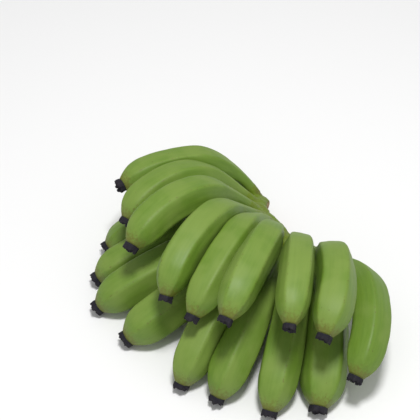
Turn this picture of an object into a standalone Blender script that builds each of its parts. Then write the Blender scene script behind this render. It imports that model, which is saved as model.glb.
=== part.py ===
"""A hand of green bananas, cut from its stalk and laid down: two rows of fingers on one curved crown.

Metres, +Z up, at real size. The hand lies on z = 0, on the tips of its lower row and on the low ends of its
crown, and the origin is under the middle of its bounding box. Each finger is one fruit: its neck plugs into a
socket of the crown, and its blunt end carries the dried remains of its flower.
"""

import math
from collections import namedtuple

import bmesh
import bpy
import numpy as np
from mathutils import Matrix, Vector

# The stalk that the hand grew round. The crown is a strip of it, and every finger starts on a circle about it.
STALK_CENTRE = Vector((0.084, -0.030, 0.001))
STALK_LEAN = Matrix.Rotation(math.radians(23), 3, "Y") @ Matrix.Rotation(math.radians(-21), 3, "X")
NECK_CIRCLE = 0.047  # radius on which the fingers' centre lines start
UPPER_ROW = -0.0075  # where each row starts along the stalk, counted downwards from the crown's middle
LOWER_ROW = 0.009
# Towards its far end the crown opens out and the upper row comes down it.
SPREAD, SPREAD_FROM, SPREAD_TO = 0.009, math.radians(205), math.radians(255)
DROP, DROP_FROM, DROP_TO = 0.006, math.radians(225), math.radians(255)

# Crown: a curved strip, hollow towards the stalk, cut off at both ends.
CROWN_START = math.radians(136)
CROWN_END = math.radians(294)
CROWN_INNER = 0.034
CROWN_OUTER = 0.0545
CROWN_TOP = -0.0165
CROWN_BOTTOM = 0.0165
CROWN_END_SLOPE = 0.011  # how much less deep the strip is at its two ends
CROWN_STATIONS = 19
CROWN_CORNERS = 14
CROWN_SQUARENESS = 3.2

# Fingers: girth runs from a narrow neck to the full body and down to the blunt flower end.
NECK_SHARE = 0.38  # share of the full girth
NECK_ENDS = 0.16  # share of the length
BODY_STARTS = 0.50
TIP_SHARE = 0.37
TIP_STARTS = 0.80
SIDES = 5  # soft ridges along a finger
RIDGE_SHARPNESS = 7
RIDGES_RISE = (0.02, 0.42)  # shares of the length over which they rise from the round neck
RINGS = 15
POINTS_PER_SIDE = 3
END_CROWDING = 0.1  # how much closer the rings stand at both ends
FINE_STEPS = 96  # steps of a centre line

# Dried flower at the end of each finger.
FLOWER_LENGTH = 0.0065
FLOWER_RINGS = ((0.0, 0.93), (0.3, 1.08), (0.75, 1.0), (1.0, 0.72))  # shares of its length and of the tip's girth
FLOWER_CORNERS = 10
FLOWER_RAGGED = 0.12

GAP = 0.0003  # between two pieces that touch
HALF_PRESS_GAP = 0.00025  # each of two fingers that press together stops this far from their shared wall
SOCKET_CLEARANCE = 0.0007
SOCKET_RINGS = 6  # the crown keeps clear of this many rings of each finger
LEAST_GIRTH = 0.3  # a pressed finger keeps at least this share of its girth
BISECTIONS = 14
FLOOR_PASSES = 4

# place: round the crown, in degrees. lift, sway: first direction above the crown's plane and along the crown.
# roll: turn of the plane that the finger bends in. bend: whole bend. ease: below 0 it bends early, above 0 late.
# turn: turn of its ridges about its own line. Lengths and girths (radii) in metres.
Finger = namedtuple("Finger", "place lift sway roll bend ease turn length girth")
UPPER_FINGERS = (
    Finger(146, 49, 27, 25, 92, -0.7, 17, 0.169, 0.0152),
    Finger(167, 35, 19, 23, 110, 0.2, 24, 0.168, 0.0166),
    Finger(187, 32, 15, 18, 99, 0.2, 22, 0.180, 0.0164),
    Finger(202, 25, 17, 19, 107, 0.5, 25, 0.192, 0.0158),
    Finger(215, 36, 19, 7, 101, -0.2, -20, 0.187, 0.0158),
    Finger(232, 34, 11, 4, 96, 0.3, 33, 0.193, 0.0156),
    Finger(256, 39, -12, 18, 96, 0.4, 33, 0.186, 0.0146),
    Finger(271, 37, -8, -3, 101, 0.7, -10, 0.184, 0.0166),
    Finger(284, 35, 6, -22, 105, 0.1, 33, 0.183, 0.0160),
)
LOWER_FINGERS = (
    Finger(165, 1, 22, 1, 53, -0.2, -30, 0.151, 0.0166),
    Finger(183, -1, 21, -14, 59, -0.1, -32, 0.168, 0.0170),
    Finger(200, -1, 18, -22, 71, 0.0, -18, 0.183, 0.0180),
    Finger(213, -3, 23, -26, 73, 0.0, 1, 0.183, 0.0190),
    Finger(230, 7, 6, 6, 88, 0.2, -24, 0.196, 0.0174),
    Finger(246, 8, 1, 2, 82, 0.1, 3, 0.193, 0.0172),
    Finger(261, 12, -6, 8, 81, 0.1, -14, 0.194, 0.0170),
    Finger(276, 13, -6, 0, 69, 0.0, -16, 0.184, 0.0196),
)

PEEL_COLOUR, PEEL_ROUGHNESS = (0.20, 0.33, 0.07), 0.42
CROWN_COLOUR, CROWN_ROUGHNESS = (0.19, 0.27, 0.05), 0.6
FLOWER_COLOUR, FLOWER_ROUGHNESS = (0.018, 0.015, 0.020), 0.85


def clear_scene():
    for item in list(bpy.data.objects):
        bpy.data.objects.remove(item, do_unlink=True)


def material(name, colour, roughness):
    made = bpy.data.materials.new(name)
    made.use_nodes = True
    shader = made.node_tree.nodes["Principled BSDF"]
    shader.inputs["Base Color"].default_value = (*colour, 1)
    shader.inputs["Roughness"].default_value = roughness
    shader.inputs["Metallic"].default_value = 0
    made.diffuse_color = (*colour, 1)
    return made


def ease(value, start, end):
    """0 before start, 1 after end, and smooth between."""
    share = min(max((value - start) / (end - start), 0), 1)
    return share * share * (3 - 2 * share)


def on_stalk(place):
    """Directions at this angle round the stalk: outwards, along the crown, and down the stalk."""
    out = STALK_LEAN @ Vector((math.cos(place), math.sin(place), 0))
    down = STALK_LEAN @ Vector((0, 0, -1))
    return out, down.cross(out) * -1, down


class Line:
    """A finger's centre line: an arc in one plane, with the frame of each point, and the girth along it."""

    def __init__(self, finger, upper):
        place = math.radians(finger.place)
        out, along, down = on_stalk(place)
        lift, sway, roll = (math.radians(v) for v in (finger.lift, finger.sway, finger.roll))
        if upper:
            circle = NECK_CIRCLE + SPREAD * ease(place, SPREAD_FROM, SPREAD_TO)
            row = UPPER_ROW + DROP * ease(place, DROP_FROM, DROP_TO)
        else:
            circle, row = NECK_CIRCLE, LOWER_ROW
        start = STALK_CENTRE + circle * out + row * down
        first = math.cos(lift) * (math.cos(sway) * out + math.sin(sway) * along) - math.sin(lift) * down
        inner = (down - down.dot(first) * first).normalized()
        inner = math.cos(roll) * inner + math.sin(roll) * first.cross(inner)
        self.share = np.linspace(0, 1, FINE_STEPS + 1)
        angle = math.radians(finger.bend) * (self.share + finger.ease * (self.share**2 - self.share))
        first, inner = np.array(first), np.array(inner)
        self.along = np.outer(np.cos(angle), first) + np.outer(np.sin(angle), inner)
        self.crest = np.outer(np.sin(angle), first) - np.outer(np.cos(angle), inner)
        self.side = np.cross(self.along, self.crest)
        middle = (self.along[1:] + self.along[:-1]) / 2 * finger.length / FINE_STEPS
        self.points = np.array(start) + np.concatenate([np.zeros((1, 3)), np.cumsum(middle, axis=0)])
        self.flower_from = 1 - FLOWER_LENGTH / finger.length
        self.girth = finger.girth * girth_share(self.share, self.flower_from)
        self.finger = finger

    def let_down(self, height):
        """Bends the line smoothly down by this height at its far end."""
        self.points[:, 2] -= height * self.share**2

    def at(self, share, values):
        return np.stack([np.interp(share, self.share, column) for column in np.atleast_2d(values.T)], axis=-1)


def girth_share(share, last):
    """Share of the full girth: a slow swelling after the neck, and a quick rounded fall to the flower end."""
    swell = np.clip((share - NECK_ENDS) / (BODY_STARTS - NECK_ENDS), 0, 1)
    swell = swell * swell * (3 - 2 * swell)
    fall = np.clip((last - share) / (last - TIP_STARTS), 0, 1)
    fall = 1 - (1 - fall) ** 2.6
    return (NECK_SHARE + (1 - NECK_SHARE) * swell) * (TIP_SHARE + (1 - TIP_SHARE) * fall)


def section(angle):
    """Radius of the five-sided section at an angle from a ridge, about 1 on average."""
    faces = (np.arange(SIDES) + 0.5) * 2 * math.pi / SIDES
    towards = np.clip(np.cos(angle[:, None] - faces), 0, None)
    radius = (towards**RIDGE_SHARPNESS).sum(axis=1) ** (-1 / RIDGE_SHARPNESS)
    return radius / radius.mean()


def ring_shares(last):
    """Where the rings stand along a finger: closer together at both ends."""
    even = np.linspace(0, 1, RINGS)
    return last * (even - END_CROWDING * np.sin(2 * math.pi * even))


def free_radius(centre, ray, radius, girth, others):
    """The largest share of radius, by bisection, at which points on the rays stay in this finger's own cell."""
    low = np.full(radius.shape, LEAST_GIRTH)
    high = np.full(radius.shape, 1.0)
    points = np.concatenate([other.points for other in others])
    girths = np.concatenate([other.girth for other in others])
    share = high
    for _ in range(BISECTIONS):
        reach = radius * share
        place = centre + ray * reach[:, None]
        away = np.linalg.norm(place[:, None] - points, axis=2)
        theirs = ((away - HALF_PRESS_GAP) / girths).min(axis=1)
        inside = (reach + HALF_PRESS_GAP) / girth <= theirs
        low = np.where(inside, share, low)
        high = np.where(inside, high, share)
        share = (low + high) / 2
    return radius * low


def finger_rings(line, others, shares, spare=0.0):
    """The finger's rings of points, pressed flat where it meets another finger, and widened by spare."""
    corners = SIDES * POINTS_PER_SIDE
    angle = np.arange(corners) * 2 * math.pi / corners
    turned = angle + math.radians(line.finger.turn)
    shape = section(angle)
    rings = []
    for share in shares:
        centre = line.at(share, line.points)
        crest, side = line.at(share, line.crest), line.at(share, line.side)
        ray = np.outer(np.cos(turned), crest) + np.outer(np.sin(turned), side)
        girth = float(line.at(share, line.girth)[0])
        five_sided = min(ease(share, *RIDGES_RISE), math.sin(math.pi * min(max(share, 0.08), 0.92)) ** 0.5)
        radius = girth * (1 + (shape - 1) * five_sided)
        radius = free_radius(centre, ray, radius, girth, others) + spare
        rings.append(centre + ray * radius[:, None])
    return np.array(rings)


def loft(name, rings, paint):
    """One closed body through rings of points, with flat ends."""
    mesh = bmesh.new()
    made = [[mesh.verts.new(point) for point in ring] for ring in rings]
    count = len(made[0])
    for near, far in zip(made, made[1:]):
        for i in range(count):
            j = (i + 1) % count
            mesh.faces.new((near[i], near[j], far[j], far[i]))
    mesh.faces.new(made[0][::-1])
    mesh.faces.new(made[-1])
    bmesh.ops.recalc_face_normals(mesh, faces=mesh.faces)
    data = bpy.data.meshes.new(name)
    mesh.to_mesh(data)
    mesh.free()
    data.materials.append(paint)
    data.shade_smooth()
    data.set_sharp_from_angle(angle=math.radians(50))
    made_object = bpy.data.objects.new(name, data)
    bpy.context.scene.collection.objects.link(made_object)
    return made_object


def flower_rings(line, others):
    """The dried flower: a short stub in line with the finger's end, a little ragged."""
    ragged = np.random.default_rng(line.finger.place)
    angle = np.arange(FLOWER_CORNERS) * 2 * math.pi / FLOWER_CORNERS
    start = line.flower_from + GAP / line.finger.length
    tip = float(line.at(line.flower_from, line.girth)[0])
    rings = []
    for along, share in FLOWER_RINGS:
        place = start + (1 - start) * along
        centre = line.at(place, line.points)
        crest, side = line.at(line.flower_from, line.crest), line.at(line.flower_from, line.side)
        radius = tip * share * (1 + FLOWER_RAGGED * along * ragged.uniform(-1, 1, FLOWER_CORNERS))
        ray = np.outer(np.cos(angle), crest) + np.outer(np.sin(angle), side)
        radius = free_radius(centre, ray, radius, tip, others)
        rings.append(centre + ray * radius[:, None])
    return np.array(rings)


def crown_rings():
    """Sections of the crown's strip from end to end: rounded oblongs, less deep and thinner at both ends."""
    angle = np.arange(CROWN_CORNERS) * 2 * math.pi / CROWN_CORNERS
    across = np.sign(np.cos(angle)) * np.abs(np.cos(angle)) ** (2 / CROWN_SQUARENESS)
    upright = np.sign(np.sin(angle)) * np.abs(np.sin(angle)) ** (2 / CROWN_SQUARENESS)
    rings = []
    for even in np.linspace(-1, 1, CROWN_STATIONS):
        place = CROWN_START + (CROWN_END - CROWN_START) * (even + 1) / 2
        out, _, down = on_stalk(place)
        out, down = np.array(out), np.array(down)
        end = max(0, 1 - ((1 - abs(even)) / 0.14)) ** 2
        bottom = CROWN_BOTTOM - CROWN_END_SLOPE * even**4
        top = CROWN_TOP + 1.25 * DROP * ease(place, DROP_FROM, DROP_TO)
        middle, deep = (top + bottom) / 2, (bottom - top) / 2 * (1 - 0.35 * end)
        thick = (CROWN_OUTER - CROWN_INNER) / 2 * (1 - 0.35 * end)
        circle = (CROWN_INNER + CROWN_OUTER) / 2 + 0.55 * SPREAD * ease(place, SPREAD_FROM, SPREAD_TO)
        centre = np.array(STALK_CENTRE) + out * circle + down * middle
        ring = centre + np.outer(across * thick, out) + np.outer(upright * deep, down)
        ring[:, 2] = np.maximum(ring[:, 2], 0)
        rings.append(ring)
    return np.array(rings)


def cut_sockets(crown, lines):
    """Takes every finger's neck, a little widened, out of the crown."""
    for number, line in enumerate(lines):
        others = [other for other in lines if other is not line]
        shares = ring_shares(line.flower_from)
        rings = finger_rings(line, others, shares[:SOCKET_RINGS], SOCKET_CLEARANCE)
        rings[0] -= line.along[0] * GAP
        cutter = loft(f"socket_cutter_{number + 1}", rings, crown.data.materials[0])
        cutter.hide_render = True
        cutter.display_type = "WIRE"
        cut = crown.modifiers.new(f"socket_{number + 1}", "BOOLEAN")
        cut.operation = "DIFFERENCE"
        cut.solver = "EXACT"
        cut.object = cutter


def rest_on_floor(lines, lower):
    """Bends each finger of the lower row until it touches z = 0, closer with each pass."""
    for line in lower * FLOOR_PASSES:
        others = [other for other in lines if other is not line]
        finger = finger_rings(line, others, ring_shares(line.flower_from))
        flower = flower_rings(line, others)
        line.let_down(min(finger[:, :, 2].min(), flower[:, :, 2].min()))


def set_down(objects):
    """Moves everything so that the lowest point is at z = 0 and the bounding box stands over the origin."""
    solid = [item for item in objects if not item.hide_render]
    points = np.array([vertex.co for item in solid for vertex in item.data.vertices])
    low, high = points.min(axis=0), points.max(axis=0)
    shift = Vector((-(low[0] + high[0]) / 2, -(low[1] + high[1]) / 2, -low[2]))
    for item in objects:
        item.data.transform(Matrix.Translation(shift))


def main():
    clear_scene()
    upper = [Line(finger, True) for finger in UPPER_FINGERS]
    lower = [Line(finger, False) for finger in LOWER_FINGERS]
    lines = upper + lower
    rest_on_floor(lines, lower)
    names = [f"upper_{{}}_{i + 1}" for i in range(len(upper))]
    names += [f"lower_{{}}_{i + 1}" for i in range(len(lower))]
    for name, line in zip(names, lines):
        others = [other for other in lines if other is not line]
        rings = finger_rings(line, others, ring_shares(line.flower_from))
        finger, flower = name.format("finger"), name.format("flower_end")
        loft(finger, rings, material(finger, PEEL_COLOUR, PEEL_ROUGHNESS))
        loft(flower, flower_rings(line, others), material(flower, FLOWER_COLOUR, FLOWER_ROUGHNESS))
    crown = loft("crown", crown_rings(), material("crown", CROWN_COLOUR, CROWN_ROUGHNESS))
    cut_sockets(crown, lines)
    set_down(list(bpy.data.objects))


main()
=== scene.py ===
# %% [markdown]
# # A hand of green bananas
#
# A hand is what a grower cuts from the stalk of a banana plant: two rows of fingers that grow from one
# thick curved strip, the crown. Each finger is a fruit with a narrow neck, a body with five soft ridges,
# and a blunt end that carries the dried remains of its flower.
#
# The solids that give the sizes are plain. This lesson puts a fine surface on each of them: the same
# places and girths, but with real ridges, grown-together necks, ragged flower ends, and peel that looks
# alive.

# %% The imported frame
import math

import bmesh
import bpy
import numpy as np
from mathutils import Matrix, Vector, noise


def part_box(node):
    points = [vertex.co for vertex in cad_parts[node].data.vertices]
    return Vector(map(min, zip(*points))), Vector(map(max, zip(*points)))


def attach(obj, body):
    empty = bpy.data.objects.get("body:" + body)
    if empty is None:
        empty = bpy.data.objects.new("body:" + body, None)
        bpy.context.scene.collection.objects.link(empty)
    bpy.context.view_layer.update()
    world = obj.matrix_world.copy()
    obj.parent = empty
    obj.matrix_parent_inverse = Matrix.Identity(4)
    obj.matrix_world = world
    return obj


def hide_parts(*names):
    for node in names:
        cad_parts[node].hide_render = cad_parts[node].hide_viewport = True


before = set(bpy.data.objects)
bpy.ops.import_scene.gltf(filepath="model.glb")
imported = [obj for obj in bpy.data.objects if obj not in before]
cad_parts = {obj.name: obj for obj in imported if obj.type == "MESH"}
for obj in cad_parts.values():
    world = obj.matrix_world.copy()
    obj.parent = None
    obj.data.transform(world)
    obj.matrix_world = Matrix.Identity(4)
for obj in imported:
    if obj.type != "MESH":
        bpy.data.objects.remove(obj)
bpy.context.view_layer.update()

# %% [markdown]
# ## Camera, light and floor
#
# The camera comes first, because it decides what has to be fine. It looks down on the hand from the front
# at about 45 degrees, from more than a metre away, with a long lens, so that the fingers keep their
# proportions.
#
# Green peel is a little waxy. One broad lamp almost overhead gives every finger a pale upper side and
# lets the upper row throw a soft shadow on the lower row. A pale sky fills the shade, and stays weak
# enough to keep the gaps between the fingers dark. The floor is plain and pale.

# %% Camera
ELEVATION = math.radians(45.4)
DISTANCE = 1.2
LENS = 102.86  # millimetres, on a sensor 36 mm wide
AIM = Vector((-0.0219, 0.1210, 0.0))  # where the middle of the view meets the floor


def make_camera():
    camera = bpy.data.objects.new("camera", bpy.data.cameras.new("camera"))
    camera.data.lens = LENS
    camera.data.sensor_width = 36
    camera.location = AIM + DISTANCE * Vector((0, -math.cos(ELEVATION), math.sin(ELEVATION)))
    camera.rotation_euler = (math.pi / 2 - ELEVATION, 0, 0)
    bpy.context.scene.collection.objects.link(camera)
    bpy.context.scene.camera = camera


make_camera()
print("the camera looks down at", round(math.degrees(ELEVATION)), "degrees from", DISTANCE, "m")

# %% Light and floor
LAMPS_AIM = Vector((0.0, 0.0, 0.05))


def make_lamp(name, place, size, power):
    lamp = bpy.data.objects.new(name, bpy.data.lights.new(name, "AREA"))
    lamp.data.shape = "DISK"
    lamp.data.size = size
    lamp.data.energy = power
    lamp.location = place
    lamp.rotation_euler = (LAMPS_AIM - Vector(place)).to_track_quat("-Z", "Y").to_euler()
    bpy.context.scene.collection.objects.link(lamp)


def make_sky(strength):
    sky = bpy.data.worlds.new("pale_sky")
    sky.use_nodes = True
    sky.node_tree.nodes["Background"].inputs["Color"].default_value = (1, 1, 1, 1)
    sky.node_tree.nodes["Background"].inputs["Strength"].default_value = strength
    bpy.context.scene.world = sky


def make_floor(size):
    plate = bmesh.new()
    bmesh.ops.create_grid(plate, x_segments=1, y_segments=1, size=size / 2)
    data = bpy.data.meshes.new("floor")
    plate.to_mesh(data)
    plate.free()
    floor = bpy.data.objects.new("floor", data)
    bpy.context.scene.collection.objects.link(floor)
    paint = bpy.data.materials.new("floor")
    paint.use_nodes = True
    shader = paint.node_tree.nodes["Principled BSDF"]
    shader.inputs["Base Color"].default_value = (0.86, 0.86, 0.86, 1)
    shader.inputs["Roughness"].default_value = 0.8
    data.materials.append(paint)


make_lamp("key_lamp", (0.08, -0.20, 1.60), size=0.33, power=19.0)
make_lamp("front_lamp", (-0.75, -1.1, 0.9), size=0.9, power=1.2)
make_sky(strength=0.48)
make_floor(size=6.0)
bpy.context.scene.view_settings.view_transform = "Standard"
print("camera, two lamps, sky and floor are in place")

# %% [markdown]
# ## Reading a finger's rings
#
# Each plain finger is a skin over rings of points, from its neck to its flower end. Sculpting the fingers
# anew would lose their fit, so the fine skin starts from those same rings: the points are welded, taken
# ring by ring from the flower end, and sorted round each ring so that point 0 of every ring lies on the
# same ridge.

# %% Rings of a plain finger
SIDES = 5  # ridges of a finger
PER_SIDE = 3  # points of a plain ring from one ridge to the next
AROUND = SIDES * PER_SIDE


def welded(node):
    """The places of a solid's corners, each once, and for each the corners that an edge joins to it."""
    corners = np.array([vertex.co for vertex in node.data.vertices])
    places, index = np.unique(np.round(corners, 6), axis=0, return_inverse=True)
    index = index.ravel()
    joined = [set() for _ in places]
    for edge in node.data.edges:
        a, b = (index[v] for v in edge.vertices)
        if a != b:
            joined[a].add(b)
            joined[b].add(a)
    return places, joined


def sorted_round(points, towards):
    """A ring's points in order round their middle, anticlockwise as seen from the end of towards."""
    spokes = points - points.mean(axis=0)
    normal = np.linalg.svd(spokes)[2][2]
    normal *= np.sign(normal @ towards)
    first = spokes[0] / np.linalg.norm(spokes[0])
    second = np.cross(normal, first)
    return points[np.argsort(np.arctan2(spokes @ second, spokes @ first))]


def rings_of(finger, flower):
    """The rings of a finger from neck to flower end, as an array of rings by points by three."""
    places, joined = welded(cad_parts[finger])
    low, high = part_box(flower)
    end = np.array((Vector(low) + Vector(high)) / 2)
    ring = set(np.argsort(np.linalg.norm(places - end, axis=1))[:AROUND])
    rings, seen = [], set()
    while ring:
        rings.append(places[sorted(ring)])
        seen |= ring
        ring = {b for a in ring for b in joined[a]} - seen
    rings = rings[::-1]
    middles = [ring.mean(axis=0) for ring in rings]
    towards = [middles[min(k + 1, len(rings) - 1)] - middles[max(k - 1, 0)] for k in range(len(rings))]
    rings = [sorted_round(ring, t) for ring, t in zip(rings, towards)]
    for k in range(1, len(rings)):
        turned = [np.roll(rings[k], s, axis=0) for s in range(AROUND)]
        rings[k] = min(turned, key=lambda ring: np.linalg.norm(ring - rings[k - 1], axis=1).sum())
    rings = np.array(rings)
    radii = np.linalg.norm(rings - rings.mean(axis=1, keepdims=True), axis=2).mean(axis=0)
    ridge = int(np.argmax(radii.reshape(SIDES, PER_SIDE).mean(axis=0)))
    return np.roll(rings, -ridge, axis=1)


fingers = sorted(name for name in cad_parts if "finger" in name)
rings = {name: rings_of(name, name.replace("finger", "flower_end")) for name in fingers}
print(len(rings), "fingers, each of", {r.shape[:2] for r in rings.values()}, "rings by points")

# %% [markdown]
# ## The fine skin of a finger
#
# A curve through the plain points, both along and round the finger, already gives a smooth fruit. Real
# fingers are less even: the five faces are flatter and the ridges crisper than a smooth curve makes them,
# though they fade out on the round neck; the ridges waver, and the whole body swells and dips a little.
# Subdivision would round the ridges off, so the skin is computed point by point instead, and each point
# also stores where it is: how far along, how near a ridge, and its place on the finger as if it were
# straight. The peel's patterns use those, so they follow the bend.

# %% Smooth curves through points
def through(values, at, where):
    """Values between given ones, on smooth curves: each row of values belongs to one place in at."""
    slope = np.gradient(values, at, axis=0)
    k = np.clip(np.searchsorted(at, where, side="right") - 1, 0, len(at) - 2)
    step = (at[k + 1] - at[k]).reshape(-1, *([1] * (values.ndim - 1)))
    t = (where - at[k]).reshape(step.shape) / step
    start = (1 + 2 * t) * (1 - t) ** 2 * values[k] + t * (1 - t) ** 2 * step * slope[k]
    return start + t * t * (3 - 2 * t) * values[k + 1] + t * t * (t - 1) * step * slope[k + 1]


def through_ring(values, count):
    """The same round a closed ring, with count points, the first on the first."""
    wrap = 3
    closed = np.concatenate([values[-wrap:], values, values[:wrap]])
    at = np.arange(-wrap, len(values) + wrap, dtype=float)
    return through(closed, at, np.arange(count) * len(values) / count)


def ease(value, start, end):
    """0 at start, 1 at end, and smooth between."""
    share = np.clip((value - start) / (end - start), 0, 1)
    return share * share * (3 - 2 * share)


corner_check = through_ring(np.array([[1, 0], [0, 1], [-1, 0], [0, -1]], float), 8)
print("a square of points becomes a ring whose reach is", np.round(np.linalg.norm(corner_check, axis=1), 2))

# %% Ridges and unevenness
RIDGE_WIDTH = 0.13  # of a face's width
WAVES, WAVER = 3, 0.05  # how many waves a ridge wavers in, and how far each may go, of a face's width
TONE_BLEND = 0.18  # of a face's width: how far its tone reaches past the ridge
PLAIN_SHARPNESS, SHARPNESS = 7, 13  # of the ridges, on the plain rings and on the fine skin


def near_ridge(turn):
    """1 on a ridge and 0 away from it. turn counts faces: whole numbers are ridges."""
    away = np.abs((turn + 0.5) % 1 - 0.5)
    return np.exp(-((away / RIDGE_WIDTH) ** 2))


def noise_at(points, length, seed):
    """Smooth noise, one number for each point, with bumps about as wide as length."""
    shift = Vector((seed * 3.7, seed * 1.9, seed * 5.3))
    return np.array([noise.noise(Vector(p) / length + shift) for p in points])


def five_sided(turn, sharpness):
    """Reach of a rounded five-sided section, about 1: the higher the sharpness, the crisper its ridges."""
    angle = turn[..., None] - (np.arange(SIDES) + 0.5)
    towards = np.clip(np.cos(angle * 2 * math.pi / SIDES), 0, None)
    reach = (towards**sharpness).sum(axis=-1) ** (-1 / sharpness)
    return reach / reach.mean(axis=-1, keepdims=True)


def waver(random, share):
    """How far the ridges stray to one side along the finger, counted in faces."""
    return sum(random.uniform(-WAVER, WAVER) * np.sin(random.uniform(2, 6) * share + random.uniform(0, 6))
               for _ in range(WAVES))


def face_tones(random, turn):
    """A tone from 0 to 1 for each face, carried softly over the ridges between them."""
    tones = random.uniform(0, 1, SIDES)
    face = np.floor(turn).astype(int) % SIDES
    before, own, after = tones[face - 1], tones[face], tones[(face + 1) % SIDES]
    part = turn % 1
    near_start = before + (own - before) * ease(part, -TONE_BLEND, TONE_BLEND)
    near_end = own + (after - own) * ease(part, 1 - TONE_BLEND, 1 + TONE_BLEND)
    return np.where(part < 0.5, near_start, near_end)


ridge_reach = five_sided(np.linspace(0, 1, 11), SHARPNESS)
print("from face to ridge the reach goes", round(ridge_reach.min(), 2), "to", round(ridge_reach.max(), 2))

# %% The skin of one finger
FINE_ALONG = 120
FINE_AROUND = 80
RIDGES_RISE = (0.02, 0.42)  # shares of the length over which they rise from the round neck
SWELL, SWELL_LENGTH = 0.0007, 0.035  # metres
UNEVEN, UNEVEN_LENGTH = 0.00012, 0.007
NECK_SMOOTH = 0.25  # share of the length over which the unevenness sets in


class Skin:
    """The fine surface of one finger as a grid of points, along by around, with what its patterns need."""

    def __init__(self, plain, seed):
        random = np.random.default_rng(seed)
        middles = plain.mean(axis=1)
        at = np.concatenate([[0], np.cumsum(np.linalg.norm(np.diff(middles, axis=0), axis=1))])
        where = np.linspace(0, at[-1], FINE_ALONG)
        rows = through(plain, at, where)
        self.middle = through(middles, at, where)
        grid = np.array([through_ring(row, FINE_AROUND) for row in rows])
        self.share = where / at[-1]
        self.turn = np.arange(FINE_AROUND) * SIDES / FINE_AROUND
        turn = self.turn[None] + waver(random, self.share)[:, None]
        self.ridge = near_ridge(turn)
        risen = ease(self.share, *RIDGES_RISE)[:, None]
        crisper = 1 + risen * (five_sided(turn, SHARPNESS) - 1)
        crisper /= 1 + risen * (five_sided(turn, PLAIN_SHARPNESS) - 1)
        spoke = grid - self.middle[:, None]
        grid = self.middle[:, None] + spoke * crisper[..., None]
        self.girth = np.linalg.norm(spoke, axis=2)
        flat = grid.reshape(-1, 3)
        out = (spoke / self.girth[..., None]).reshape(-1, 3)
        push = SWELL * noise_at(flat, SWELL_LENGTH, seed)
        push += UNEVEN * noise_at(flat, UNEVEN_LENGTH, seed + 0.5)
        push *= np.repeat(ease(self.share, 0.0, NECK_SMOOTH), FINE_AROUND)
        self.grid = (flat + out * push[:, None]).reshape(grid.shape)
        angle = self.turn * 2 * math.pi / SIDES
        radius = self.girth.mean(axis=1)
        self.straight = np.stack([
            radius[:, None] * np.cos(angle)[None],
            radius[:, None] * np.sin(angle)[None],
            np.repeat(where[:, None], FINE_AROUND, axis=1) + seed,
        ], axis=-1)
        self.face = np.repeat(face_tones(random, self.turn)[None], FINE_ALONG, axis=0)


print("each skin will have", FINE_ALONG, "rings of", FINE_AROUND, "points")

# %% Making a shown piece
ABOVE_FLOOR = 0.0002  # metres: no skin swells through the surface that the hand lies on


def attribute(data, name, values):
    """Stores one number, or three, for each vertex."""
    values = np.asarray(values, np.float32)
    kind = "FLOAT" if values.ndim == 1 else "FLOAT_VECTOR"
    made = data.attributes.new(name, kind, "POINT")
    made.data.foreach_set("value" if kind == "FLOAT" else "vector", values.ravel())


def grid_faces(rows, columns):
    """Faces of a tube of rows rings of columns points."""
    faces = []
    for i in range(rows - 1):
        for j in range(columns):
            k = (j + 1) % columns
            faces.append((i * columns + j, i * columns + k, (i + 1) * columns + k, (i + 1) * columns + j))
    return faces


def add_piece(name, points, faces, replaced, paint):
    """A shown piece that rides with the hand and stands for its plain solids."""
    points = np.array(points)
    points[:, 2] = np.maximum(points[:, 2], ABOVE_FLOOR)
    data = bpy.data.meshes.new(name)
    data.from_pydata([tuple(p) for p in points], [], faces)
    tidy = bmesh.new()
    tidy.from_mesh(data)
    bmesh.ops.recalc_face_normals(tidy, faces=tidy.faces)
    tidy.to_mesh(data)
    tidy.free()
    data.shade_smooth()
    piece = bpy.data.objects.new(name, data)
    bpy.context.scene.collection.objects.link(piece)
    data.materials.append(paint)
    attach(piece, "root")
    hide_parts(*replaced)
    return piece


print("a piece starts", ABOVE_FLOOR * 1000, "mm above the surface at the lowest")

# %% [markdown]
# ## Patterns that several finishes share
#
# Peel, crown and dried flower all carry spots and cloudy variation, at different sizes and strengths.
# Each pattern is a node group, built once, with its sizes as inputs. A group only puts out masks, so that
# every finish decides what they mean: a colour, a gloss or a bump.

# %% Node helpers
def new_group(name, inputs, outputs):
    """An empty shader node group with named number or vector sockets, and its two end nodes."""
    group = bpy.data.node_groups.new(name, "ShaderNodeTree")
    for label, kind, value in inputs:
        socket = group.interface.new_socket(label, in_out="INPUT", socket_type=f"NodeSocket{kind}")
        if value is not None:
            socket.default_value = value
    for label in outputs:
        group.interface.new_socket(label, in_out="OUTPUT", socket_type="NodeSocketFloat")
    return group, group.nodes.new("NodeGroupInput"), group.nodes.new("NodeGroupOutput")


def add(tree, kind, settings=None, **inputs):
    """Adds a node. Settings are its own properties, inputs its sockets: a value, or an output to link."""
    node = tree.nodes.new(kind)
    for key, value in (settings or {}).items():
        setattr(node, key, value)
    for key, value in inputs.items():
        key = int(key[1:]) if key[0] == "_" else key.replace("_", " ")
        if isinstance(value, bpy.types.NodeSocket):
            tree.links.new(value, node.inputs[key])
        else:
            node.inputs[key].default_value = value
    return node


def maths(tree, operation, a, b):
    return add(tree, "ShaderNodeMath", {"operation": operation}, _0=a, _1=b).outputs[0]


def mapped(tree, value, low, high, to_low=0.0, to_high=1.0):
    """Value from low to high, carried smoothly to to_low and to_high, and held there outside."""
    node = add(tree, "ShaderNodeMapRange", {"interpolation_type": "SMOOTHSTEP"}, Value=value,
               From_Min=low, From_Max=high, To_Min=to_low, To_Max=to_high)
    return node.outputs["Result"]


def noisy(tree, vector, scale, detail=2.0, roughness=0.5):
    return add(tree, "ShaderNodeTexNoise", Vector=vector, Scale=scale, Detail=detail,
               Roughness=roughness).outputs["Fac"]


def stored(tree, name, output="Fac"):
    return add(tree, "ShaderNodeAttribute", {"attribute_name": name}).outputs[output]


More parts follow.
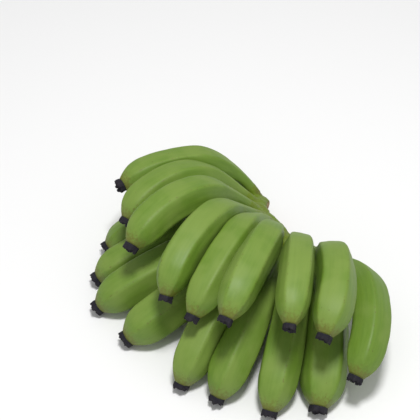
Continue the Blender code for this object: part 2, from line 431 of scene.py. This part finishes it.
def mixed(tree, share, a, b):
    """Colour a where share is 0 and b where it is 1."""
    node = add(tree, "ShaderNodeMix", {"data_type": "RGBA"}, _0=share, _6=a, _7=b)
    return node.outputs[2]


print("helpers for groups, maths, masks, noise and mixing are ready")

# %% Cloudy variation
def cloud_group():
    """Broad clouds, fine clouds, and streaks that run along the third direction of the given place."""
    group, given, made = new_group(
        "cloudy_growth",
        [("Place", "Vector", None), ("Broad Size", "Float", 0.03), ("Fine Size", "Float", 0.004),
         ("Streak Length", "Float", 12.0)],
        ("Broad", "Fine", "Streaks"))
    place = given.outputs["Place"]
    broad = maths(group, "DIVIDE", 1.0, given.outputs["Broad Size"])
    fine = maths(group, "DIVIDE", 1.0, given.outputs["Fine Size"])
    shorter = maths(group, "DIVIDE", 1.0, given.outputs["Streak Length"])
    along = add(group, "ShaderNodeCombineXYZ", X=1.0, Y=1.0, Z=shorter).outputs[0]
    drawn = add(group, "ShaderNodeVectorMath", {"operation": "MULTIPLY"}, _0=place, _1=along).outputs[0]
    group.links.new(noisy(group, place, broad, 2.0), made.inputs["Broad"])
    group.links.new(noisy(group, place, fine, 3.0, 0.6), made.inputs["Fine"])
    group.links.new(noisy(group, drawn, fine, 3.0, 0.55), made.inputs["Streaks"])
    return group


CLOUDS = cloud_group()
print(CLOUDS.name, "puts out", [item.name for item in CLOUDS.interface.items_tree if item.in_out == "OUTPUT"])

# %% Freckles
def freckle_group():
    """Small round spots, each of its own size, thinned out so that they stand in loose groups."""
    group, given, made = new_group(
        "freckles",
        [("Place", "Vector", None), ("Spacing", "Float", 0.004), ("Size", "Float", 0.16),
         ("Share", "Float", 0.4)],
        ("Spots",))
    place = given.outputs["Place"]
    scale = maths(group, "DIVIDE", 1.0, given.outputs["Spacing"])
    cells = add(group, "ShaderNodeTexVoronoi", Vector=place, Scale=scale)
    own = add(group, "ShaderNodeSeparateColor", Color=cells.outputs["Color"])
    size = maths(group, "MULTIPLY", own.outputs["Red"], given.outputs["Size"])
    rim = maths(group, "MULTIPLY", size, 0.35)
    spot = mapped(group, cells.outputs["Distance"], rim, size, 1.0, 0.0)
    kept = maths(group, "LESS_THAN", own.outputs["Green"], given.outputs["Share"])
    group.links.new(maths(group, "MULTIPLY", spot, kept), made.inputs["Spots"])
    return group


FRECKLES = freckle_group()


def placed(tree, group, **inputs):
    """Puts a shared pattern into a finish, with this finish's own values."""
    node = add(tree, "ShaderNodeGroup", {"node_tree": group})
    for key, value in inputs.items():
        socket = node.inputs[key.replace("_", " ")]
        if isinstance(value, bpy.types.NodeSocket):
            tree.links.new(value, socket)
        else:
            socket.default_value = value
    return node.outputs


print("two shared patterns:", CLOUDS.name, "and", FRECKLES.name)

# %% [markdown]
# ## Green peel
#
# Unripe peel is a clear yellowish green under a thin pale bloom of wax. The bloom lies unevenly, so
# clouds and faint streaks along the finger decide how pale it is. Towards the neck the green turns
# yellower, and just before the flower end it turns a yellowish brown. Small brown freckles sit mostly on
# the outer half, and the ridges are rubbed brown in places. The gloss is broad and soft.

# %% The peel finish
DEEP_GREEN = (0.088, 0.182, 0.011, 1)
CLEAR_GREEN = (0.142, 0.245, 0.024, 1)
PALE_GREEN = (0.205, 0.290, 0.058, 1)
NECK_GREEN = (0.135, 0.190, 0.012, 1)
TIP_BROWN = (0.130, 0.138, 0.014, 1)
FRECKLE_BROWN = (0.085, 0.055, 0.014, 1)
RUBBED_BROWN = (0.120, 0.095, 0.022, 1)


def peel_finish():
    made = bpy.data.materials.new("green_peel")
    made.use_nodes = True
    tree = made.node_tree
    shader = tree.nodes["Principled BSDF"]
    place = stored(tree, "straight", "Vector")
    along, ridge = stored(tree, "along"), stored(tree, "ridge")
    clouds = placed(tree, CLOUDS, Place=place, Broad_Size=0.022, Fine_Size=0.0022, Streak_Length=14.0)
    deep = mapped(tree, clouds["Streaks"], 0.25, 0.75, 0.3, 0.8)
    colour = mixed(tree, deep, DEEP_GREEN, CLEAR_GREEN)
    faces = mapped(tree, stored(tree, "face"), 0.0, 1.0, -0.10, 0.10)
    bloom = mapped(tree, maths(tree, "ADD", clouds["Broad"], faces), 0.30, 0.72, 0.1, 0.6)
    colour = mixed(tree, bloom, colour, PALE_GREEN)
    colour = mixed(tree, mapped(tree, along, 0.20, 0.02), colour, NECK_GREEN)
    tip = maths(tree, "ADD", along, mapped(tree, clouds["Fine"], 0.2, 0.8, -0.025, 0.025))
    colour = mixed(tree, mapped(tree, tip, 0.945, 1.0, 0.0, 0.9), colour, TIP_BROWN)
    worn = mapped(tree, clouds["Fine"], 0.52, 0.68, 0.0, 0.6)
    rubbed = maths(tree, "MULTIPLY", mapped(tree, ridge, 0.8, 1.0), worn)
    colour = mixed(tree, rubbed, colour, RUBBED_BROWN)
    outer = mapped(tree, along, 0.35, 0.95, 0.05, 0.30)
    spots = placed(tree, FRECKLES, Place=place, Spacing=0.0042, Size=0.15, Share=outer)["Spots"]
    colour = mixed(tree, maths(tree, "MULTIPLY", spots, 0.75), colour, FRECKLE_BROWN)
    tree.links.new(colour, shader.inputs["Base Color"])
    gloss = mapped(tree, clouds["Broad"], 0.3, 0.7, 0.50, 0.62)
    gloss = maths(tree, "ADD", gloss, maths(tree, "MULTIPLY", spots, 0.2))
    tree.links.new(gloss, shader.inputs["Roughness"])
    height = maths(tree, "ADD", maths(tree, "MULTIPLY", clouds["Streaks"], 0.5), clouds["Fine"])
    height = maths(tree, "ADD", height, maths(tree, "MULTIPLY", spots, 0.4))
    bump = add(tree, "ShaderNodeBump", Strength=0.16, Distance=0.0006, Height=height)
    tree.links.new(bump.outputs["Normal"], shader.inputs["Normal"])
    shader.inputs["Specular IOR Level"].default_value = 0.42
    return made


PEEL = peel_finish()
print("the peel is made of", len(PEEL.node_tree.nodes), "nodes")

# %% The fingers
CAP_WIDTH, CAP_SINKS = 0.6, 0.0012  # the hollow in the end: share of its width, and metres behind its edge
skins = {}


def make_finger(name, seed):
    skin = Skin(rings[name], seed)
    skins[name] = skin
    points = skin.grid.reshape(-1, 3)
    tip_way = skin.middle[-1] - skin.middle[-2]
    tip_way /= np.linalg.norm(tip_way)
    rim = skin.grid[-1]
    inner = skin.middle[-1] + (rim - skin.middle[-1]) * CAP_WIDTH - tip_way * CAP_SINKS
    neck = skin.grid[0]
    points = np.concatenate([points, inner, [inner.mean(axis=0)], [neck.mean(axis=0)]])
    count = FINE_ALONG * FINE_AROUND
    faces = grid_faces(FINE_ALONG + 1, FINE_AROUND)
    last, centre, start = count, count + FINE_AROUND, count + FINE_AROUND + 1
    for j in range(FINE_AROUND):
        k = (j + 1) % FINE_AROUND
        faces.append((last + j, last + k, centre))
        faces.append((k, j, start))
    piece = add_piece(f"{name}_peel", points, faces, [name], PEEL)
    extra = FINE_AROUND + 2
    along = np.concatenate([np.repeat(skin.share, FINE_AROUND), np.ones(extra - 1), [0]])
    attribute(piece.data, "along", along)
    attribute(piece.data, "ridge", np.concatenate([skin.ridge.ravel(), np.zeros(extra)]))
    attribute(piece.data, "face", np.concatenate([skin.face.ravel(), np.full(extra, 0.5)]))
    straight = skin.straight.reshape(-1, 3)
    straight = np.concatenate([straight, straight[-FINE_AROUND:] * 0.99, straight[-1:], straight[:1]])
    attribute(piece.data, "straight", straight)


for number, name in enumerate(fingers):
    make_finger(name, number + 1)
print(len(skins), "fingers of", FINE_ALONG * FINE_AROUND, "points each")

# %% [markdown]
# ## The crown
#
# On the plant the crown and the necks are one tissue, so there is no seam between them: each neck flows
# out of the strip with a hollow fillet, and between the necks the strip is knobby. The plain crown has a
# socket for each neck. Here a fattened copy of every neck fills its socket, and a voxel remesh grows
# strip and necks into one skin. Towards the body each copy gets thinner than its finger and sinks into
# it, so the skin ends softly.
#
# The side that was cut from the stalk is the hollow one. It has dried to a fibrous buff, with a brown rim
# where the peel was cut through.

# %% Strip and necks
NECK_TO = 0.20  # share of a finger at which its fattened neck has sunk into it
NECK_STEPS = 14
NECK_FAT, NECK_THIN = 1.24, 0.86  # of the finger's own girth, at the crown and at the far end
THINS_FROM = 0.05  # share of the copy at which it starts to get thinner
VOXEL = 0.0009  # metres
SMOOTHING = 14


def neck_plug(skin):
    """Rings of a fattened neck, thinner towards the body of the finger."""
    shares = np.linspace(0, NECK_TO, NECK_STEPS)
    rows = through(skin.grid, skin.share, shares)
    middles = through(skin.middle, skin.share, shares)
    fat = NECK_FAT + (NECK_THIN - NECK_FAT) * ease(shares, THINS_FROM * NECK_TO, NECK_TO)
    return middles[:, None] + (rows - middles[:, None]) * fat[:, None, None]


def joined_crown():
    """One mesh that holds the plain crown and the fattened necks, still overlapping."""
    mesh = bmesh.new()
    mesh.from_mesh(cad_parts["crown"].data)
    bmesh.ops.remove_doubles(mesh, verts=mesh.verts, dist=1e-6)
    for skin in skins.values():
        rows = [[mesh.verts.new(p) for p in ring] for ring in neck_plug(skin)]
        for near, far in zip(rows, rows[1:]):
            for j in range(FINE_AROUND):
                k = (j + 1) % FINE_AROUND
                mesh.faces.new((near[j], near[k], far[k], far[j]))
        mesh.faces.new(rows[0][::-1])
        mesh.faces.new(rows[-1])
    bmesh.ops.recalc_face_normals(mesh, faces=mesh.faces)
    data = bpy.data.meshes.new("crown_joined")
    mesh.to_mesh(data)
    mesh.free()
    return data


def evaluated(thing):
    """Points and faces of an object with its modifiers applied."""
    graph = bpy.context.evaluated_depsgraph_get()
    shape = thing.evaluated_get(graph).to_mesh()
    points = np.empty(len(shape.vertices) * 3)
    shape.vertices.foreach_get("co", points)
    return points.reshape(-1, 3), [tuple(face.vertices) for face in shape.polygons]


def grown_crown():
    rough = bpy.data.objects.new("crown_rough", joined_crown())
    bpy.context.scene.collection.objects.link(rough)
    remesh = rough.modifiers.new("grow", "REMESH")
    remesh.mode = "VOXEL"
    remesh.voxel_size = VOXEL
    soften = rough.modifiers.new("soften", "SMOOTH")
    soften.iterations = SMOOTHING
    soften.factor = 0.5
    points, faces = evaluated(rough)
    data = rough.data
    bpy.data.objects.remove(rough, do_unlink=True)
    bpy.data.meshes.remove(data)
    return points, faces


crown_points, crown_faces = grown_crown()
print("crown skin:", len(crown_points), "points")

# %% [markdown]
# ## Where the stalk was
#
# The rim and the cut face are found from the shape itself. The necks of the lower row start on a circle
# round the stalk, so a plane and a circle through those starts give the stalk's middle and its direction.
# A point of the crown whose skin faces that middle belongs to the cut.

# %% The stalk's axis
def stalk_axis():
    """A point on the stalk's middle line, and the line's direction."""
    starts = np.array([rings[name][0].mean(axis=0) for name in fingers if name.startswith("lower")])
    middle = starts.mean(axis=0)
    first, second, axis = np.linalg.svd(starts - middle)[2]
    flat = np.stack([(starts - middle) @ first, (starts - middle) @ second], axis=1)
    table = np.column_stack([2 * flat, np.ones(len(flat))])
    x, y, _ = np.linalg.lstsq(table, (flat**2).sum(axis=1), rcond=None)[0]
    return middle + x * first + y * second, axis


STALK, AXIS = stalk_axis()
print("stalk's middle at", np.round(STALK, 3), "along", np.round(AXIS, 2))


# %% Which way the skin faces
def vertex_normals(points, faces):
    """The direction of the skin at each point, from the faces around it."""
    corners = np.array([face[:3] for face in faces])
    first, second, third = (points[corners[:, k]] for k in range(3))
    cross = np.cross(second - first, third - first)
    total = np.zeros_like(points)
    for face, way in zip(faces, cross):
        for corner in face:
            total[corner] += way
    return total / np.linalg.norm(total, axis=1, keepdims=True)


crown_normals = vertex_normals(crown_points, crown_faces)
print("skin that faces up:", round(100 * float((crown_normals[:, 2] > 0).mean())), "%")

# %% The crown's finish
CROWN_BROWN = (0.095, 0.085, 0.018, 1)
CUT_BUFF = (0.42, 0.33, 0.16, 1)
CUT_BROWN = (0.16, 0.09, 0.035, 1)


def crown_finish():
    made = bpy.data.materials.new("crown_tissue")
    made.use_nodes = True
    tree = made.node_tree
    shader = tree.nodes["Principled BSDF"]
    place = add(tree, "ShaderNodeTexCoord").outputs["Object"]
    cut, rim = stored(tree, "cut"), stored(tree, "rim")
    clouds = placed(tree, CLOUDS, Place=place, Broad_Size=0.012, Fine_Size=0.0018, Streak_Length=3.0)
    colour = mixed(tree, mapped(tree, clouds["Broad"], 0.35, 0.65, 0.0, 0.4), NECK_GREEN, CLEAR_GREEN)
    patches = mapped(tree, clouds["Fine"], 0.56, 0.72, 0.0, 0.55)
    colour = mixed(tree, patches, colour, CROWN_BROWN)
    spots = placed(tree, FRECKLES, Place=place, Spacing=0.003, Size=0.2, Share=0.35)["Spots"]
    colour = mixed(tree, maths(tree, "MULTIPLY", spots, 0.7), colour, CROWN_BROWN)
    fibres = placed(tree, FRECKLES, Place=place, Spacing=0.0022, Size=0.45, Share=0.8)["Spots"]
    flesh = mixed(tree, mapped(tree, clouds["Fine"], 0.35, 0.65), CUT_BUFF, CUT_BROWN)
    flesh = mixed(tree, maths(tree, "MULTIPLY", fibres, 0.7), flesh, CUT_BROWN)
    colour = mixed(tree, cut, colour, flesh)
    colour = mixed(tree, rim, colour, CROWN_BROWN)
    tree.links.new(colour, shader.inputs["Base Color"])
    dull = mapped(tree, clouds["Fine"], 0.3, 0.7, 0.42, 0.6)
    dull = maths(tree, "ADD", dull, maths(tree, "MULTIPLY", cut, 0.25))
    tree.links.new(dull, shader.inputs["Roughness"])
    stringy = maths(tree, "MULTIPLY", fibres, maths(tree, "MULTIPLY", cut, 1.5))
    height = maths(tree, "ADD", clouds["Fine"], stringy)
    bump = add(tree, "ShaderNodeBump", Strength=0.45, Distance=0.0008, Height=height)
    tree.links.new(bump.outputs["Normal"], shader.inputs["Normal"])
    shader.inputs["Specular IOR Level"].default_value = 0.25
    return made


CROWN = crown_finish()
print("the crown's tissue is made of", len(CROWN.node_tree.nodes), "nodes")

# %% The crown's skin
CUT_FROM, CUT_TO = 0.62, 0.80  # how squarely the skin faces the stalk where the cut begins and is bare
RIM_WIDTH, RIM_BROWN = 0.14, 0.55  # in the same measure, and how brown the rim gets at the most
STRIP_TO, NECKS_FROM = 0.050, 0.058  # metres from the stalk's middle
KNOBS, KNOB_SIZE = 0.0009, 0.009  # metres, as in the next two lines: height, then width
PITS, PIT_SIZE = 0.00022, 0.0022
RIM_LIP, RIM_LIP_SIZE = 0.0007, 0.004


def make_crown(points, faces, normals):
    arm = points - STALK
    arm -= np.outer(arm @ AXIS, AXIS)
    reach = np.linalg.norm(arm, axis=1)
    facing = -(normals * arm).sum(axis=1) / reach
    on_strip = 1 - ease(reach, STRIP_TO, NECKS_FROM)
    cut = ease(facing, CUT_FROM, CUT_TO) * on_strip
    rim = np.exp(-(((facing - CUT_FROM) / RIM_WIDTH) ** 2)) * on_strip
    rough = KNOBS * noise_at(points, KNOB_SIZE, 41) * (1 - cut) * on_strip
    rough += PITS * noise_at(points, PIT_SIZE, 42)
    rough += RIM_LIP * rim * (0.5 + noise_at(points, RIM_LIP_SIZE, 43))
    points = points + normals * rough[:, None]
    piece = add_piece("crown_skin", points, faces, ["crown"], CROWN)
    attribute(piece.data, "cut", cut)
    attribute(piece.data, "rim", RIM_BROWN * rim)
    return cut


bare = make_crown(crown_points, crown_faces, crown_normals)
print("cut face:", round(100 * float((bare > 0.5).mean())), "% of the crown's skin")

# %% [markdown]
# ## Dried flower ends
#
# Each finger ends in the scar of its flower. The withered parts have shrunk to a short, nearly black
# stub: a tough wall with a broken, jagged edge, torn into lobes of unequal length, round a shallow cup
# with the stump of the style in it. A plain stub would read as a cap, so the wall is modelled inside and
# outside, and every finger draws its own lobes.

# %% The dried finish
DRIED_BLACK = (0.011, 0.011, 0.019, 1)
DRIED_BROWN = (0.027, 0.022, 0.026, 1)


def dried_finish():
    made = bpy.data.materials.new("dried_flower")
    made.use_nodes = True
    tree = made.node_tree
    shader = tree.nodes["Principled BSDF"]
    place = add(tree, "ShaderNodeTexCoord").outputs["Object"]
    clouds = placed(tree, CLOUDS, Place=place, Broad_Size=0.004, Fine_Size=0.0008, Streak_Length=3.0)
    colour = mixed(tree, mapped(tree, clouds["Fine"], 0.45, 0.75), DRIED_BLACK, DRIED_BROWN)
    colour = mixed(tree, maths(tree, "MULTIPLY", stored(tree, "edge"), 0.5), colour, DRIED_BROWN)
    tree.links.new(colour, shader.inputs["Base Color"])
    tree.links.new(mapped(tree, clouds["Broad"], 0.3, 0.7, 0.6, 0.9), shader.inputs["Roughness"])
    shader.inputs["Specular IOR Level"].default_value = 0.25
    bump = add(tree, "ShaderNodeBump", Strength=0.7, Distance=0.0007, Height=clouds["Fine"])
    tree.links.new(bump.outputs["Normal"], shader.inputs["Normal"])
    return made


DRIED = dried_finish()
print("the dried flower is made of", len(DRIED.node_tree.nodes), "nodes")

# %% The shape of a flower end
LOBE_POINTS = 60
SHORTEST_LOBE, NOTCH, TORN = 0.72, 0.38, 0.06  # share of the longest, then shares of a lobe's own length
FLOWER_STEPS = (0.0, 0.12, 0.3, 0.5, 0.7, 0.86, 1.0)
FLOWER_WIDTHS = (0.99, 1.02, 1.04, 1.03, 1.02, 1.00, 0.95)
CUP_STEPS = (0.92, 0.75, 0.55, 0.45)
CUP_WIDTHS = (0.80, 0.66, 0.42, 0.18)
STUMP_STEPS = (0.315, 0.525, 0.7125, 0.765)  # of the wall's length
STUMP_WIDTHS = (0.16, 0.13, 0.17, 0.08)
OVERLAP = 0.0006  # metres that the stub reaches back over the peel
RAGGED, FLUTED = 0.08, 0.05  # shares of the width


def lobes(random):
    """Length of the wall round the stub: unequal lobes with notches between them."""
    angle = np.arange(LOBE_POINTS) / LOBE_POINTS
    count = random.integers(5, 8)
    edges = (np.arange(count) + random.uniform(-0.25, 0.25, count)) / count + random.uniform(0, 1)
    edges = np.sort(edges % 1)
    lengths = random.uniform(SHORTEST_LOBE, 1.0, count)
    reach = np.zeros(LOBE_POINTS)
    for i in range(count):
        start, end = edges[i], edges[(i + 1) % count] + (i == count - 1)
        part = ((angle - start) % 1) / (end - start)
        inside = part < 1
        bump = np.clip(np.sin(np.pi * np.clip(part, 0, 1)), 0, 1) ** 0.35
        reach = np.where(inside, lengths[i] * (1 - NOTCH + NOTCH * bump), reach)
    return reach * (1 + TORN * random.uniform(-1, 1, LOBE_POINTS))


def flower_rings(random, middle, spokes, way, length):
    """Rings up the outside of the wall, down into the cup and up the stump, and how near an edge each is."""
    reach = lobes(random) * length
    widen = 1 + RAGGED * random.uniform(-1, 1, LOBE_POINTS)
    turn = np.arange(LOBE_POINTS) / LOBE_POINTS * 2 * np.pi
    widen *= 1 + FLUTED * np.cos(turn * random.integers(5, 9))
    made, edge = [], []
    for step, width in zip(FLOWER_STEPS, FLOWER_WIDTHS):
        out = spokes * (width * (1 + (widen - 1) * step))[:, None]
        made.append(middle + out + np.outer(reach * step - OVERLAP * (1 - step), way))
        edge.append(step)
    for step, width in zip(CUP_STEPS, CUP_WIDTHS):
        made.append(middle + spokes * width + np.outer(reach * step, way))
        edge.append(step * 0.5)
    for step, width in zip(STUMP_STEPS, STUMP_WIDTHS):
        made.append(middle + spokes * width + way * length * step)
        edge.append(0.6)
    return np.array(made), np.repeat(edge, LOBE_POINTS)


print("a flower end has", len(FLOWER_STEPS) + len(CUP_STEPS) + len(STUMP_STEPS), "rings")

# %% One flower end
FILLS, LONGEST = 0.92, 0.0066  # share of the solid's reach, and metres
WRINKLE, WRINKLE_SIZE, WRINKLE_REACH = 0.00025, 0.0012, 0.006  # metres


def make_flower(name, skin, seed):
    random = np.random.default_rng(seed)
    rim, middle = skin.grid[-1], skin.middle[-1]
    way = middle - skin.middle[-4]
    way /= np.linalg.norm(way)
    around = np.arange(LOBE_POINTS) / LOBE_POINTS * FINE_AROUND
    closed = np.concatenate([rim, rim[:1]]) - middle
    spokes = np.stack([np.interp(around, np.arange(FINE_AROUND + 1), column) for column in closed.T], axis=1)
    low, high = (np.array(corner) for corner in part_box(name))
    length = min(FILLS * np.abs((high - low) @ np.abs(way)), LONGEST)
    made, edge = flower_rings(random, middle, spokes, way, length)
    points = made.reshape(-1, 3)
    faces = grid_faces(len(made), LOBE_POINTS)
    back, front = len(points), len(points) + 1
    points = np.concatenate([points, [middle - way * OVERLAP], [made[-1].mean(axis=0)]])
    last = back - LOBE_POINTS
    for j in range(LOBE_POINTS):
        k = (j + 1) % LOBE_POINTS
        faces.append((k, j, back))
        faces.append((last + j, last + k, front))
    wrinkle = WRINKLE * noise_at(points, WRINKLE_SIZE, seed)
    points = points + np.outer(wrinkle, way) + (points - middle) * (wrinkle / WRINKLE_REACH)[:, None]
    piece = add_piece(f"{name}_dried", points, faces, [name], DRIED)
    attribute(piece.data, "edge", np.concatenate([edge, [0, 0.6]]))


for number, name in enumerate(fingers):
    make_flower(name.replace("finger", "flower_end"), skins[name], 200 + number)
print(len(fingers), "flower ends")
